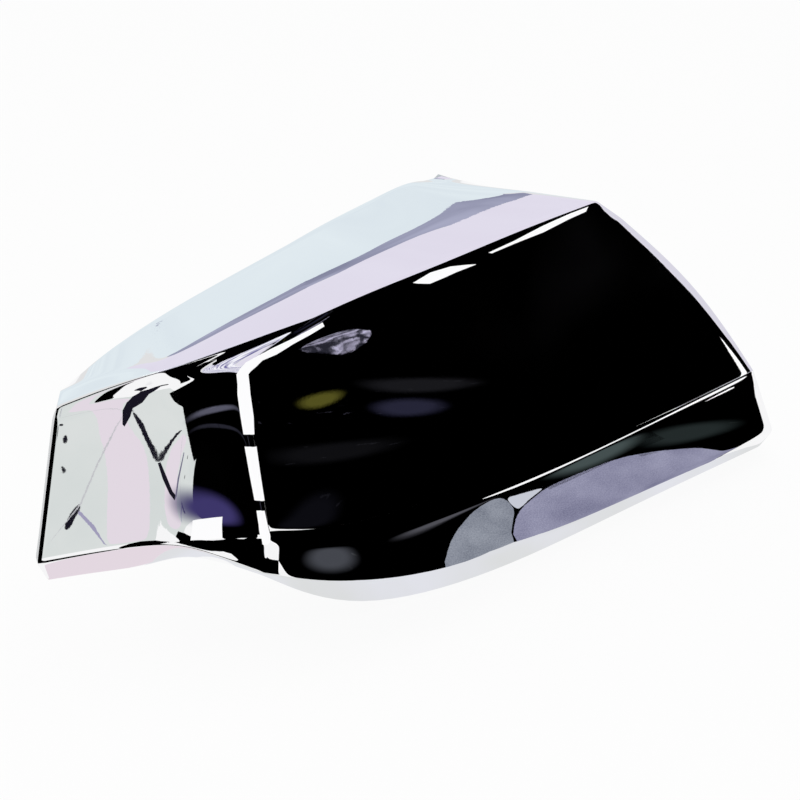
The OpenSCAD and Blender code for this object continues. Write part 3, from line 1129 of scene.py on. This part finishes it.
def face_cards() -> list[Sheet | Patch | Ribbon]:
    """The cards that paint the reflections on the face: a black flag for its dark reflection, dim crumpled
    streaks and two white highlight streaks.
    """
    return [
        # The pale card paints the pale reflection beside the face, the black flag the face's dark
        # reflection.
        Sheet("pale_card_right", FACE_BOARD, (
            (0.095, -0.0742), (0.60, -0.0742), (0.60, 0.15), (0.10, 0.15), (0.092, 0.075),
        ), Glow(tint(214, 212, 223)), -1, 0),
        Sheet("black_flag_right", FACE_BOARD, (
            (-0.20, -0.0742), (-0.20, 0.12), (-0.235, 0.13), (-0.235, 0.33), (-0.20, 0.37),
            (-0.13, 0.41), (-0.10, 0.50), (0.16, 0.50), (0.16, 0.10), (0.115, 0.075),
            (0.1050, 0.0660), (0.1100, 0.0555), (0.1150, 0.0450), (0.1200, 0.0380),
            (0.1250, 0.0310), (0.1300, 0.0195), (0.1350, 0.0080), (0.1390, -0.0020),
            (0.1430, -0.0120), (0.1480, -0.0280), (0.1600, -0.0380), (0.1620, -0.0742),
        ), PAINTED_DARK_REFLECTION, 0, 1),
        # White strips hung close before the ridge, which paint its thin white highlights.
        Ribbon("ridge_streak_high", (
            ((0.0394, 0.0024, 0.0453), (0.0409, 0.0023, 0.0447)),
            ((0.0515, 0.0051, 0.0458), (0.0521, 0.0046, 0.0449)),
            ((0.0650, 0.0084, 0.0470), (0.0652, 0.0073, 0.0449)),
            ((0.0785, 0.0115, 0.0477), (0.0779, 0.0104, 0.0459)),
            ((0.0872, 0.0131, 0.0477), (0.0859, 0.0122, 0.0462)),
        ), PAINTED_HIGHLIGHT),
        Ribbon("ridge_streak_low", (
            ((0.0055, -0.0045, 0.0450), (0.0075, -0.0045, 0.0443)),
            ((0.0136, -0.0024, 0.0461), (0.0125, -0.0043, 0.0430)),
            ((0.0223, -0.0008, 0.0456), (0.0188, -0.0029, 0.0431)),
            ((0.0300, 0.0000, 0.0441), (0.0243, -0.0016, 0.0433)),
            ((0.0333, 0.0003, 0.0433), (0.0325, 0.0002, 0.0432)),
        ), PAINTED_HIGHLIGHT),
        # Paints the white highlight along the outboard fold.
        Sheet("white_end_streak", FACE_BOARD, (
            (0.1338, -0.0250), (0.1375, -0.0400), (0.1390, -0.0550), (0.1390, -0.0742),
            (0.1300, -0.0742), (0.1305, -0.0550), (0.1315, -0.0420), (0.1330, -0.0300),
        ), PAINTED_HIGHLIGHT, 1, 1),
        # Paints dim reflected crumpled streaks on the face.
        Sheet("painted_crumpled_streaks", FACE_BOARD, (
            (-0.0701, 0.0625), (-0.0609, 0.0745), (-0.0528, 0.0805), (-0.0431, 0.0750),
            (-0.0348, 0.0658), (-0.0313, 0.0640), (-0.0356, 0.0598), (-0.0445, 0.0574),
            (-0.0522, 0.0577), (-0.0607, 0.0609),
        ), MottledGlow((0.02, 0.02, 0.03), (0.55, 0.52, 0.70), (90.0, 260.0, 1.0), (0.42, 0.66),
                       twist=1.5), 2),
        # Painted reflections on the face: a dim olive glint and dim streaks that fade out.
        Patch("painted_olive_reflection", FACE_BOARD, (-0.0765, 0.0345), (0.018, 0.0060), 0.0,
              FadingGlow((0.09, 0.085, 0.015), (0.14, 0.13, 0.03), (1.5, 1.5, 1.0)), 3),
        Patch("painted_streak_high", FACE_BOARD, (-0.098, 0.027), (0.044, 0.010), -13.0,
              FadingGlow((0.0, 0.0, 0.0), (0.40, 0.38, 0.55), (2.0, 5.0, 1.0), (0.35, 0.85))),
        Patch("painted_streak_middle", FACE_BOARD, (-0.022, 0.018), (0.042, 0.007), -33.0,
              FadingGlow((0.01, 0.01, 0.012), (0.09, 0.09, 0.11), (2.0, 4.0, 1.0))),
        Patch("painted_streak_low", FACE_BOARD, (-0.032, 0.004), (0.028, 0.009), -35.0,
              FadingGlow((0.02, 0.02, 0.04), (0.22, 0.22, 0.36), (2.0, 5.0, 1.0), (0.35, 0.85)), 2),
        Patch("painted_streak_faint", FACE_BOARD, (-0.085, -0.008), (0.055, 0.011), -20.0,
              FadingGlow((0.005, 0.005, 0.006), (0.08, 0.08, 0.10), (2.0, 5.0, 1.0))),
        Patch("painted_streak_foot", FACE_BOARD, (-0.108, -0.050), (0.024, 0.020), 0.0,
              FadingGlow((0.004, 0.004, 0.006), (0.06, 0.06, 0.08), (2.0, 3.0, 1.0))),
    ]


def flank_cards() -> list[Sheet | Patch | Ribbon]:
    """The cards that paint the reflections on the flank and the shoulder fold: a black flag for the dark
    reflection, dim reflected arcs and streaks, and white highlight strips.
    """
    return [
        # Paints the flank's dark reflection.
        Sheet("black_flag_left", FLANK_BOARD, (
            (-0.155, -0.050), (-0.120, -0.030), (-0.0828, -0.012), (-0.060, 0.003),
            (-0.050, 0.012), (-0.030, 0.035), (0.0, 0.07), (0.38, 0.07), (0.38, -0.0742),
            (0.050, -0.0742), (0.047, -0.066), (-0.025, -0.066), (-0.035, -0.050),
        ), PAINTED_DARK_REFLECTION, 0, 0),
        # Painted reflections on the flank: arcs, a dim patch and streaks.
        Patch("flank_arc", FLANK_BOARD, (0.033, -0.012), (0.009, 0.062), -3.0,
              FadingGlow((0.10, 0.10, 0.14), (0.40, 0.40, 0.52), (3.0, 1.5, 1.0))),
        Patch("flank_arc_dim", FLANK_BOARD, (0.0, -0.015), (0.005, 0.060), 16.0,
              FadingGlow((0.02, 0.02, 0.03), (0.10, 0.10, 0.15), (3.0, 1.5, 1.0))),
        Patch("painted_dim_flank_reflection", FLANK_BOARD, (-0.015, -0.035), (0.024, 0.024), 0.0,
              FadingGlow((0.0, 0.0, 0.0), (0.05, 0.05, 0.07), (2.0, 2.0, 1.0))),
        Patch("flank_streaks", FLANK_BOARD, (0.118, -0.030), (0.075, 0.065), 0.0,
              FadingGlow((0.0, 0.0, 0.0), (0.42, 0.40, 0.62), (7.0, 1.0, 1.0), (0.55, 0.9))),
        # White strips hung close before the shoulder fold, which paint its highlights.
        Ribbon("shoulder_strip_high", (
            ((-0.0706, -0.0239, 0.0379), (-0.0676, -0.0237, 0.0374), (-0.0650, -0.0232, 0.0367)),
            ((-0.0711, -0.0249, 0.0348), (-0.0680, -0.0248, 0.0344), (-0.0653, -0.0242, 0.0336)),
            ((-0.0720, -0.0257, 0.0317), (-0.0685, -0.0259, 0.0314), (-0.0656, -0.0253, 0.0306)),
            ((-0.0728, -0.0276, 0.0248), (-0.0691, -0.0281, 0.0246), (-0.0659, -0.0275, 0.0238)),
            ((-0.0732, -0.0291, 0.0191), (-0.0700, -0.0300, 0.0191), (-0.0668, -0.0295, 0.0185)),
        ), PAINTED_HIGHLIGHT),
        Ribbon("shoulder_strip_middle", (
            ((-0.0738, -0.0300, 0.0152), (-0.0709, -0.0311, 0.0153), (-0.0668, -0.0307, 0.0147)),
            ((-0.0741, -0.0323, 0.0062), (-0.0709, -0.0339, 0.0065), (-0.0672, -0.0335, 0.0059)),
            ((-0.0742, -0.0346, -0.0021), (-0.0715, -0.0363, -0.0018), (-0.0673, -0.0361, -0.0023)),
        ), PAINTED_HIGHLIGHT),
        Ribbon("shoulder_strip_low", (
            ((-0.0742, -0.0355, -0.0054), (-0.0723, -0.0370, -0.0050), (-0.0683, -0.0373, -0.0052)),
            ((-0.0744, -0.0365, -0.0102), (-0.0719, -0.0385, -0.0096), (-0.0679, -0.0386, -0.0098)),
            ((-0.0731, -0.0359, -0.0171), (-0.0717, -0.0378, -0.0168), (-0.0680, -0.0388, -0.0168)),
            ((-0.0715, -0.0343, -0.0204), (-0.0705, -0.0354, -0.0203), (-0.0688, -0.0361, -0.0204)),
        ), PAINTED_HIGHLIGHT),
        Ribbon("shoulder_strip_top", (
            ((-0.0706, -0.0239, 0.0379), (-0.0676, -0.0237, 0.0374), (-0.0650, -0.0232, 0.0367)),
            ((-0.0660, -0.0206, 0.0427), (-0.0649, -0.0225, 0.0388), (-0.0640, -0.0228, 0.0373)),
            ((-0.0622, -0.0202, 0.0429), (-0.0615, -0.0214, 0.0397), (-0.0615, -0.0220, 0.0381)),
            ((-0.0576, -0.0200, 0.0415), (-0.0582, -0.0205, 0.0403), (-0.0589, -0.0210, 0.0392)),
            ((-0.0526, -0.0188, 0.0416), (-0.0529, -0.0193, 0.0407), (-0.0532, -0.0198, 0.0394)),
            ((-0.0468, -0.0173, 0.0420), (-0.0471, -0.0177, 0.0414), (-0.0465, -0.0179, 0.0407)),
            ((-0.0393, -0.0154, 0.0427), (-0.0395, -0.0157, 0.0422), (-0.0389, -0.0159, 0.0415)),
            ((-0.0333, -0.0138, 0.0434), (-0.0331, -0.0140, 0.0428), (-0.0329, -0.0142, 0.0423)),
        ), PAINTED_HIGHLIGHT),
    ]


def floor_cards() -> list[Sheet | Patch | Ribbon]:
    """The mats that paint the reflections on the lower facet, the chin and the flank."""
    return [
        # Paints the dark reflections of the lower facet and the chin.
        Sheet("black_mat", FLOOR_BOARD, (
            (-0.05, -0.0205), (-0.0265, -0.0212), (-0.0029, -0.0207), (0.0179, -0.0199),
            (0.0426, -0.0219), (0.0659, -0.0178), (0.0889, -0.0103), (0.1133, -0.001),
            (0.14, 0.0065), (0.155, 0.0085), (0.172, -0.002), (0.19, -0.010), (0.205, -0.020),
            (0.222, -0.030), (0.25, -0.036), (0.42, -0.13),
            (0.40, -0.146), (0.177, -0.411), (-0.0775, -0.2327),
            (-0.055, -0.10), (-0.050, -0.06),
        ), PAINTED_DARK_REFLECTION, 0, 1),
        # Paint the thin white highlight along the lower crease.
        Sheet("white_crease_mat", FLOOR_BOARD, (
            (0.075, -0.066), (0.080, -0.050), (0.10, -0.047), (0.125, -0.048), (0.15, -0.0445),
            (0.175, -0.0425), (0.20, -0.038), (0.24, -0.041), (0.26, -0.060), (0.23, -0.075),
            (0.19, -0.065), (0.15, -0.075), (0.12, -0.085), (0.09, -0.080),
        ), PAINTED_HIGHLIGHT, 1),
        Sheet("white_crease_line", FLOOR_BOARD, (
            (0.190, -0.0340), (0.2166, -0.0353), (0.2191, -0.0367), (0.205, -0.0355),
        ), PAINTED_HIGHLIGHT, 1, 1),
        # Painted reflections on the lower facet: grey and lilac discs and a pale wedge.
        Sheet("grey_disc", FLOOR_BOARD, (
            (0.0151, -0.0217), (0.0230, -0.0277), (0.0292, -0.0306), (0.0348, -0.0324),
            (0.0429, -0.0342), (0.0505, -0.0360), (0.0566, -0.0380), (0.0610, -0.0378),
            (0.0628, -0.0344), (0.0626, -0.0330), (0.0616, -0.0309), (0.0559, -0.0277),
            (0.0498, -0.0236), (0.0440, -0.0100), (0.0150, -0.0100),
        ), MottledGlow(tint(104, 109, 122), tint(152, 157, 168), (60.0, 90.0, 1.0),
                       grain=0.5), 1, 1),
        Sheet("lilac_disc", FLOOR_BOARD, (
            (0.0498, -0.0227), (0.0567, -0.0274), (0.0622, -0.0297), (0.0691, -0.0311),
            (0.0830, -0.0324), (0.0931, -0.0319), (0.1039, -0.0310), (0.1242, -0.0286),
            (0.1401, -0.0242), (0.1534, -0.0183), (0.1576, -0.0153), (0.1604, -0.0102),
            (0.1600, 0.0100), (0.0900, 0.0050), (0.0500, -0.0100),
        ), MottledGlow(tint(112, 112, 138), tint(158, 158, 182), (40.0, 60.0, 1.0),
                       grain=0.5), 1, 1),
        Sheet("pale_wedge", FLOOR_BOARD, (
            (0.0631, -0.0353), (0.0709, -0.0343), (0.0780, -0.0335), (0.0826, -0.0326),
            (0.0728, -0.0319), (0.0663, -0.0308), (0.0623, -0.0306),
        ), Glow(tint(197, 200, 210)), 2),
        # Painted reflections on the lower facet: green-grey and grey streaks and a grey patch that fade
        # out.
        Patch("painted_grey_green_reflection", FLOOR_BOARD, (0.118, -0.0340), (0.034, 0.005), 4.0,
              FadingGlow(tint(70, 80, 80), tint(118, 124, 120), (2.0, 2.0, 1.0)), 1),
        Patch("painted_dark_green_reflection", FLOOR_BOARD, (0.163, -0.0245), (0.030, 0.006), 12.0,
              FadingGlow(tint(40, 46, 46), tint(72, 78, 76), (2.0, 2.0, 1.0)), 1),
        Patch("grey_streak", FLOOR_BOARD, (0.0327, -0.0366), (0.034, 0.0024), -8.0,
              FadingGlow(tint(80, 80, 86), tint(135, 135, 142), (2.0, 2.0, 1.0)), 1),
        Patch("painted_grey_reflection", FLOOR_BOARD, (-0.028, -0.0295), (0.014, 0.006), 0.0,
              FadingGlow(tint(70, 72, 78), tint(128, 130, 136), (2.0, 2.0, 1.0)), 1),
        # Paints a pale reflection on the cover.
        Sheet("pale_mat_behind", FLOOR_BOARD, (
            (-0.085, -0.012), (-0.05, -0.0205), (-0.0265, -0.0212), (-0.0029, -0.0207),
            (0.0179, -0.0199), (0.0426, -0.0219), (0.0659, -0.0178), (0.0889, -0.0103),
            (0.1133, -0.001), (0.14, 0.0065), (0.155, 0.0085), (0.19, 0.020), (0.19, 0.06),
            (-0.085, 0.03),
        ), MottledGlow(tint(212, 214, 209), tint(224, 225, 232), (12.0, 12.0, 1.0)), 3, 1),
        # Paint dark reflections under the shoulder and on the left.
        Sheet("black_mat_under_shoulder", FLOOR_BOARD, (
            (-0.112, -0.105), (-0.112, -0.06), (-0.107, -0.033), (-0.103, -0.027), (-0.09, -0.021),
            (-0.05, -0.0195), (-0.05, -0.034), (-0.085, -0.0285), (-0.096, -0.033), (-0.10, -0.05),
            (-0.101, -0.105),
        ), PAINTED_DARK_REFLECTION, 1, 1),
        Sheet("black_mat_left", FLOOR_BOARD, (
            (-0.103, -0.027), (-0.11, -0.02), (-0.20, -0.03), (-0.40, -0.08), (-0.36, -0.30),
            (-0.172, -0.30), (-0.166, -0.14), (-0.162, -0.10), (-0.15, -0.064), (-0.1063, -0.0345),
        ), PAINTED_DARK_REFLECTION, 1, 1),
        # A dim violet painted reflection in the valley.
        Patch("violet_halo", VALLEY_BOARD, (-0.0020, 0.0035), (0.0085, 0.0090), 0.0,
              FadingGlow((0.05, 0.04, 0.15), (0.085, 0.07, 0.24), (2.0, 2.0, 1.0)), 0),
        # A white strip hung close before the valley, which paints its highlight.
        Ribbon("painted_valley_highlight", (
            ((-0.0896, -0.0223, -0.0125), (-0.0865, -0.0244, -0.0114), (-0.0828, -0.0277, -0.0098)),
            ((-0.0895, -0.0215, -0.0205), (-0.0853, -0.0229, -0.0212), (-0.0815, -0.0254, -0.0202)),
        ), PAINTED_HIGHLIGHT),
    ]


def arm_cards() -> list[Sheet | Ribbon]:
    """The mats and small strips that paint the reflections on the arm: pale tints with dark curled lines.
    """
    dark = Glow(tint(30, 28, 38))
    grey = Glow(tint(110, 106, 130))
    lilac = Glow(tint(158, 154, 182))
    return [
        # Paint the arm's pale reflections.
        Sheet("pale_green_mat", FLOOR_BOARD, (
            (-0.450, -0.300), (-0.088, -0.260), (-0.088, -0.195), (-0.104, -0.150),
            (-0.104, -0.095), (-0.450, -0.095),
        ), MottledGlow(tint(208, 214, 212), tint(217, 221, 219), (30.0, 12.0, 1.0)), 0, 0),
        Sheet("pink_mat", FLOOR_BOARD, (
            (-0.1290, -0.2100), (-0.1180, -0.2100), (-0.1153, -0.1960), (-0.1084, -0.1800),
            (-0.1065, -0.1407), (-0.1063, -0.1069), (-0.1211, -0.1050), (-0.1223, -0.1271),
            (-0.1226, -0.1569), (-0.1250, -0.1805), (-0.1268, -0.1887),
        ), Glow(tint(225, 215, 224)), 2),
        # Dark strips and bands that paint the dark reflected lines on the arm.
        Ribbon("curled_line", (
            ((-0.0930, -0.0203, 0.0366), (-0.0930, -0.0205, 0.0363)),
            ((-0.0955, -0.0194, 0.0366), (-0.0956, -0.0197, 0.0361)),
            ((-0.0993, -0.0186, 0.0358), (-0.0995, -0.0191, 0.0344)),
            ((-0.1018, -0.0183, 0.0351), (-0.1016, -0.0187, 0.0320)),
            ((-0.1044, -0.0178, 0.0343), (-0.1035, -0.0183, 0.0310)),
            ((-0.1064, -0.0175, 0.0327), (-0.1047, -0.0180, 0.0305)),
            ((-0.1078, -0.0173, 0.0302), (-0.1055, -0.0178, 0.0278)),
            ((-0.1081, -0.0172, 0.0254), (-0.1075, -0.0173, 0.0245)),
        ), dark),
        Sheet("slanted_line", FLOOR_BOARD, band((
            (-0.1150, -0.2110), (-0.1128, -0.2050), (-0.1111, -0.1990), (-0.1089, -0.1890),
            (-0.1065, -0.1792), (-0.1048, -0.1660),
        ), 0.0020), dark, 3, 1),
        Ribbon("slanted_line_low", (
            ((-0.0979, -0.0196, 0.0098), (-0.0970, -0.0197, 0.0100)),
            ((-0.0967, -0.0198, 0.0040), (-0.0955, -0.0201, 0.0046)),
            ((-0.0950, -0.0203, -0.0018), (-0.0941, -0.0206, -0.0011)),
            ((-0.0937, -0.0207, -0.0045), (-0.0931, -0.0209, -0.0031)),
        ), dark),
        Ribbon("short_line", (
            ((-0.0937, -0.0207, -0.0045), (-0.0931, -0.0209, -0.0031)),
            ((-0.0925, -0.0211, 0.0034), (-0.0921, -0.0212, 0.0033)),
            ((-0.0903, -0.0217, 0.0126), (-0.0901, -0.0218, 0.0125)),
        ), grey),
        Sheet("dark_bar", FLOOR_BOARD, band((
            (-0.1324, -0.1400), (-0.1335, -0.1350), (-0.1350, -0.1302), (-0.1364, -0.1224),
            (-0.1368, -0.1200),
        ), 0.0026), dark, 3, 1),
        Sheet("lilac_line", FLOOR_BOARD, band((
            (-0.1332, -0.1350), (-0.1320, -0.1315), (-0.1277, -0.1232), (-0.1205, -0.1046),
        ), 0.0016), lilac, 3, 0),
        Sheet("faint_line", FLOOR_BOARD, band((
            (-0.1180, -0.2080), (-0.1209, -0.1981), (-0.1269, -0.1696), (-0.1324, -0.1381),
            (-0.1434, -0.1088),
        ), 0.0006), Glow(tint(190, 190, 194)), 4, 0),
        # Paint small dark reflected flecks on the arm.
        Sheet("painted_dark_fleck_high", FLOOR_BOARD, (
            (-0.1418, -0.1897), (-0.1402, -0.1935), (-0.1394, -0.1879), (-0.1408, -0.1860),
        ), dark, 3, 1),
        Sheet("painted_dark_fleck_low", FLOOR_BOARD, (
            (-0.1412, -0.1690), (-0.1394, -0.1660), (-0.1388, -0.1642), (-0.1402, -0.1620),
        ), dark, 3, 1),
        Sheet("pink_mat_under_arm", FLOOR_BOARD, (
            (-0.13, -0.02), (-0.085, -0.02), (-0.085, 0.02), (-0.13, 0.02),
        ), Glow(tint(226, 214, 222)), 2, 1),
    ]


@dataclass(frozen=True)
class Studio:
    """A pale floor, a soft pale room, soft lamps and the camera."""

    floor_z: float = -0.0745
    floor_half: float = 4.0
    floor_shade: float = 0.90
    floor_white: float = 0.92
    room_light: float = 0.75
    lamp_at: Triple = (-0.2, -0.3, 1.4)
    lamp_side: float = 1.2
    lamp_power: float = 9.0
    camera_at: Triple = (-0.3708358, -0.6423144, 0.3943548)
    focal_px: float = 2475.0
    image_px: float = 800.0
    sensor_mm: float = 36.0

    def floor(self) -> None:
        """Lays the floor, which looks white to the camera and keeps a faint shadow."""
        bm = bmesh.new()
        bmesh.ops.create_grid(bm, x_segments=1, y_segments=1, size=self.floor_half)
        bmesh.ops.translate(bm, verts=bm.verts[:], vec=(0.0, 0.0, self.floor_z))
        mesh = bpy.data.meshes.new("floor")
        bm.to_mesh(mesh)
        bm.free()
        material, tree = node_tree("pale_floor")
        nodes, link = tree.nodes, tree.links.new
        matt = nodes.new("ShaderNodeBsdfDiffuse")
        matt.inputs["Color"].default_value = (*(self.floor_shade,) * 3, 1.0)
        white = nodes.new("ShaderNodeEmission")
        white.inputs["Color"].default_value = (1.0, 1.0, 1.0, 1.0)
        share = nodes.new("ShaderNodeMath")
        share.operation = "MULTIPLY"
        share.inputs[1].default_value = self.floor_white
        mix = nodes.new("ShaderNodeMixShader")
        link(background_rays(tree), share.inputs[0])
        link(share.outputs[0], mix.inputs["Fac"])
        link(matt.outputs["BSDF"], mix.inputs[1])
        link(white.outputs["Emission"], mix.inputs[2])
        link(mix.outputs["Shader"], output_of(tree).inputs["Surface"])
        mesh.materials.append(material)
        floor = bpy.data.objects.new("floor", mesh)
        bpy.context.scene.collection.objects.link(floor)

    def room(self) -> None:
        """Makes the pale room round the cover."""
        world = bpy.data.worlds.new("pale_room")
        bpy.context.scene.world = world
        world.use_nodes = True
        tree = world.node_tree
        tree.nodes.clear()
        output = tree.nodes.new("ShaderNodeOutputWorld")
        back = tree.nodes.new("ShaderNodeBackground")
        strength = tree.nodes.new("ShaderNodeMapRange")
        strength.inputs["To Min"].default_value = self.room_light
        strength.inputs["To Max"].default_value = 1.0
        link = tree.links.new
        link(background_rays(tree), strength.inputs["Value"])
        link(strength.outputs["Result"], back.inputs["Strength"])
        link(back.outputs["Background"], output.inputs["Surface"])

    def lamps(self) -> None:
        """Hangs one soft lamp over the cover."""
        light = bpy.data.lights.new("soft_top_lamp", "AREA")
        light.shape = "RECTANGLE"
        light.size = self.lamp_side
        light.size_y = self.lamp_side
        light.energy = self.lamp_power
        lamp = bpy.data.objects.new("soft_top_lamp", light)
        lamp.location = self.lamp_at
        lamp.rotation_euler = (-Vector(self.lamp_at)).to_track_quat("-Z", "Y").to_euler()
        bpy.context.scene.collection.objects.link(lamp)

    def camera(self) -> None:
        """Sets the camera where the photograph was taken from."""
        data = bpy.data.cameras.new("camera")
        data.sensor_width = self.sensor_mm
        data.lens = self.focal_px / self.image_px * self.sensor_mm
        data.clip_start = 0.01
        camera = bpy.data.objects.new("camera", data)
        camera.location = self.camera_at
        camera.rotation_euler = (-Vector(self.camera_at)).to_track_quat("-Z", "Y").to_euler()
        bpy.context.scene.collection.objects.link(camera)
        bpy.context.scene.camera = camera

    def build(self) -> None:
        """Sets up the whole studio, with the cards that paint the cover's reflections."""
        bpy.context.scene.view_settings.view_transform = "Standard"
        self.camera()
        self.floor()
        self.room()
        self.lamps()
        for cards in (ceiling_cards(), face_cards(), flank_cards(), floor_cards(), arm_cards()):
            for card in cards:
                card.build()


def main() -> None:
    """Builds the cover and the studio."""
    logging.basicConfig(level=logging.INFO, format="%(message)s")
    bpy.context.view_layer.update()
    chrome, inside = CHROME.material(), PLATED_INSIDE.material()
    shell = Shell().build(chrome, inside)
    bpy.context.view_layer.update()
    wall = Wall(shell)
    pieces = [
        shell,
        LocatingPins().build(wall, inside),
        SnapHooks().build(wall, inside),
        UprightRibs().build(wall, inside),
    ]
    for piece in pieces:
        logger.info("%s: %d faces in its mesh", piece.name, len(piece.data.polygons))
    Studio().build()


if __name__ == "__main__":
    main()
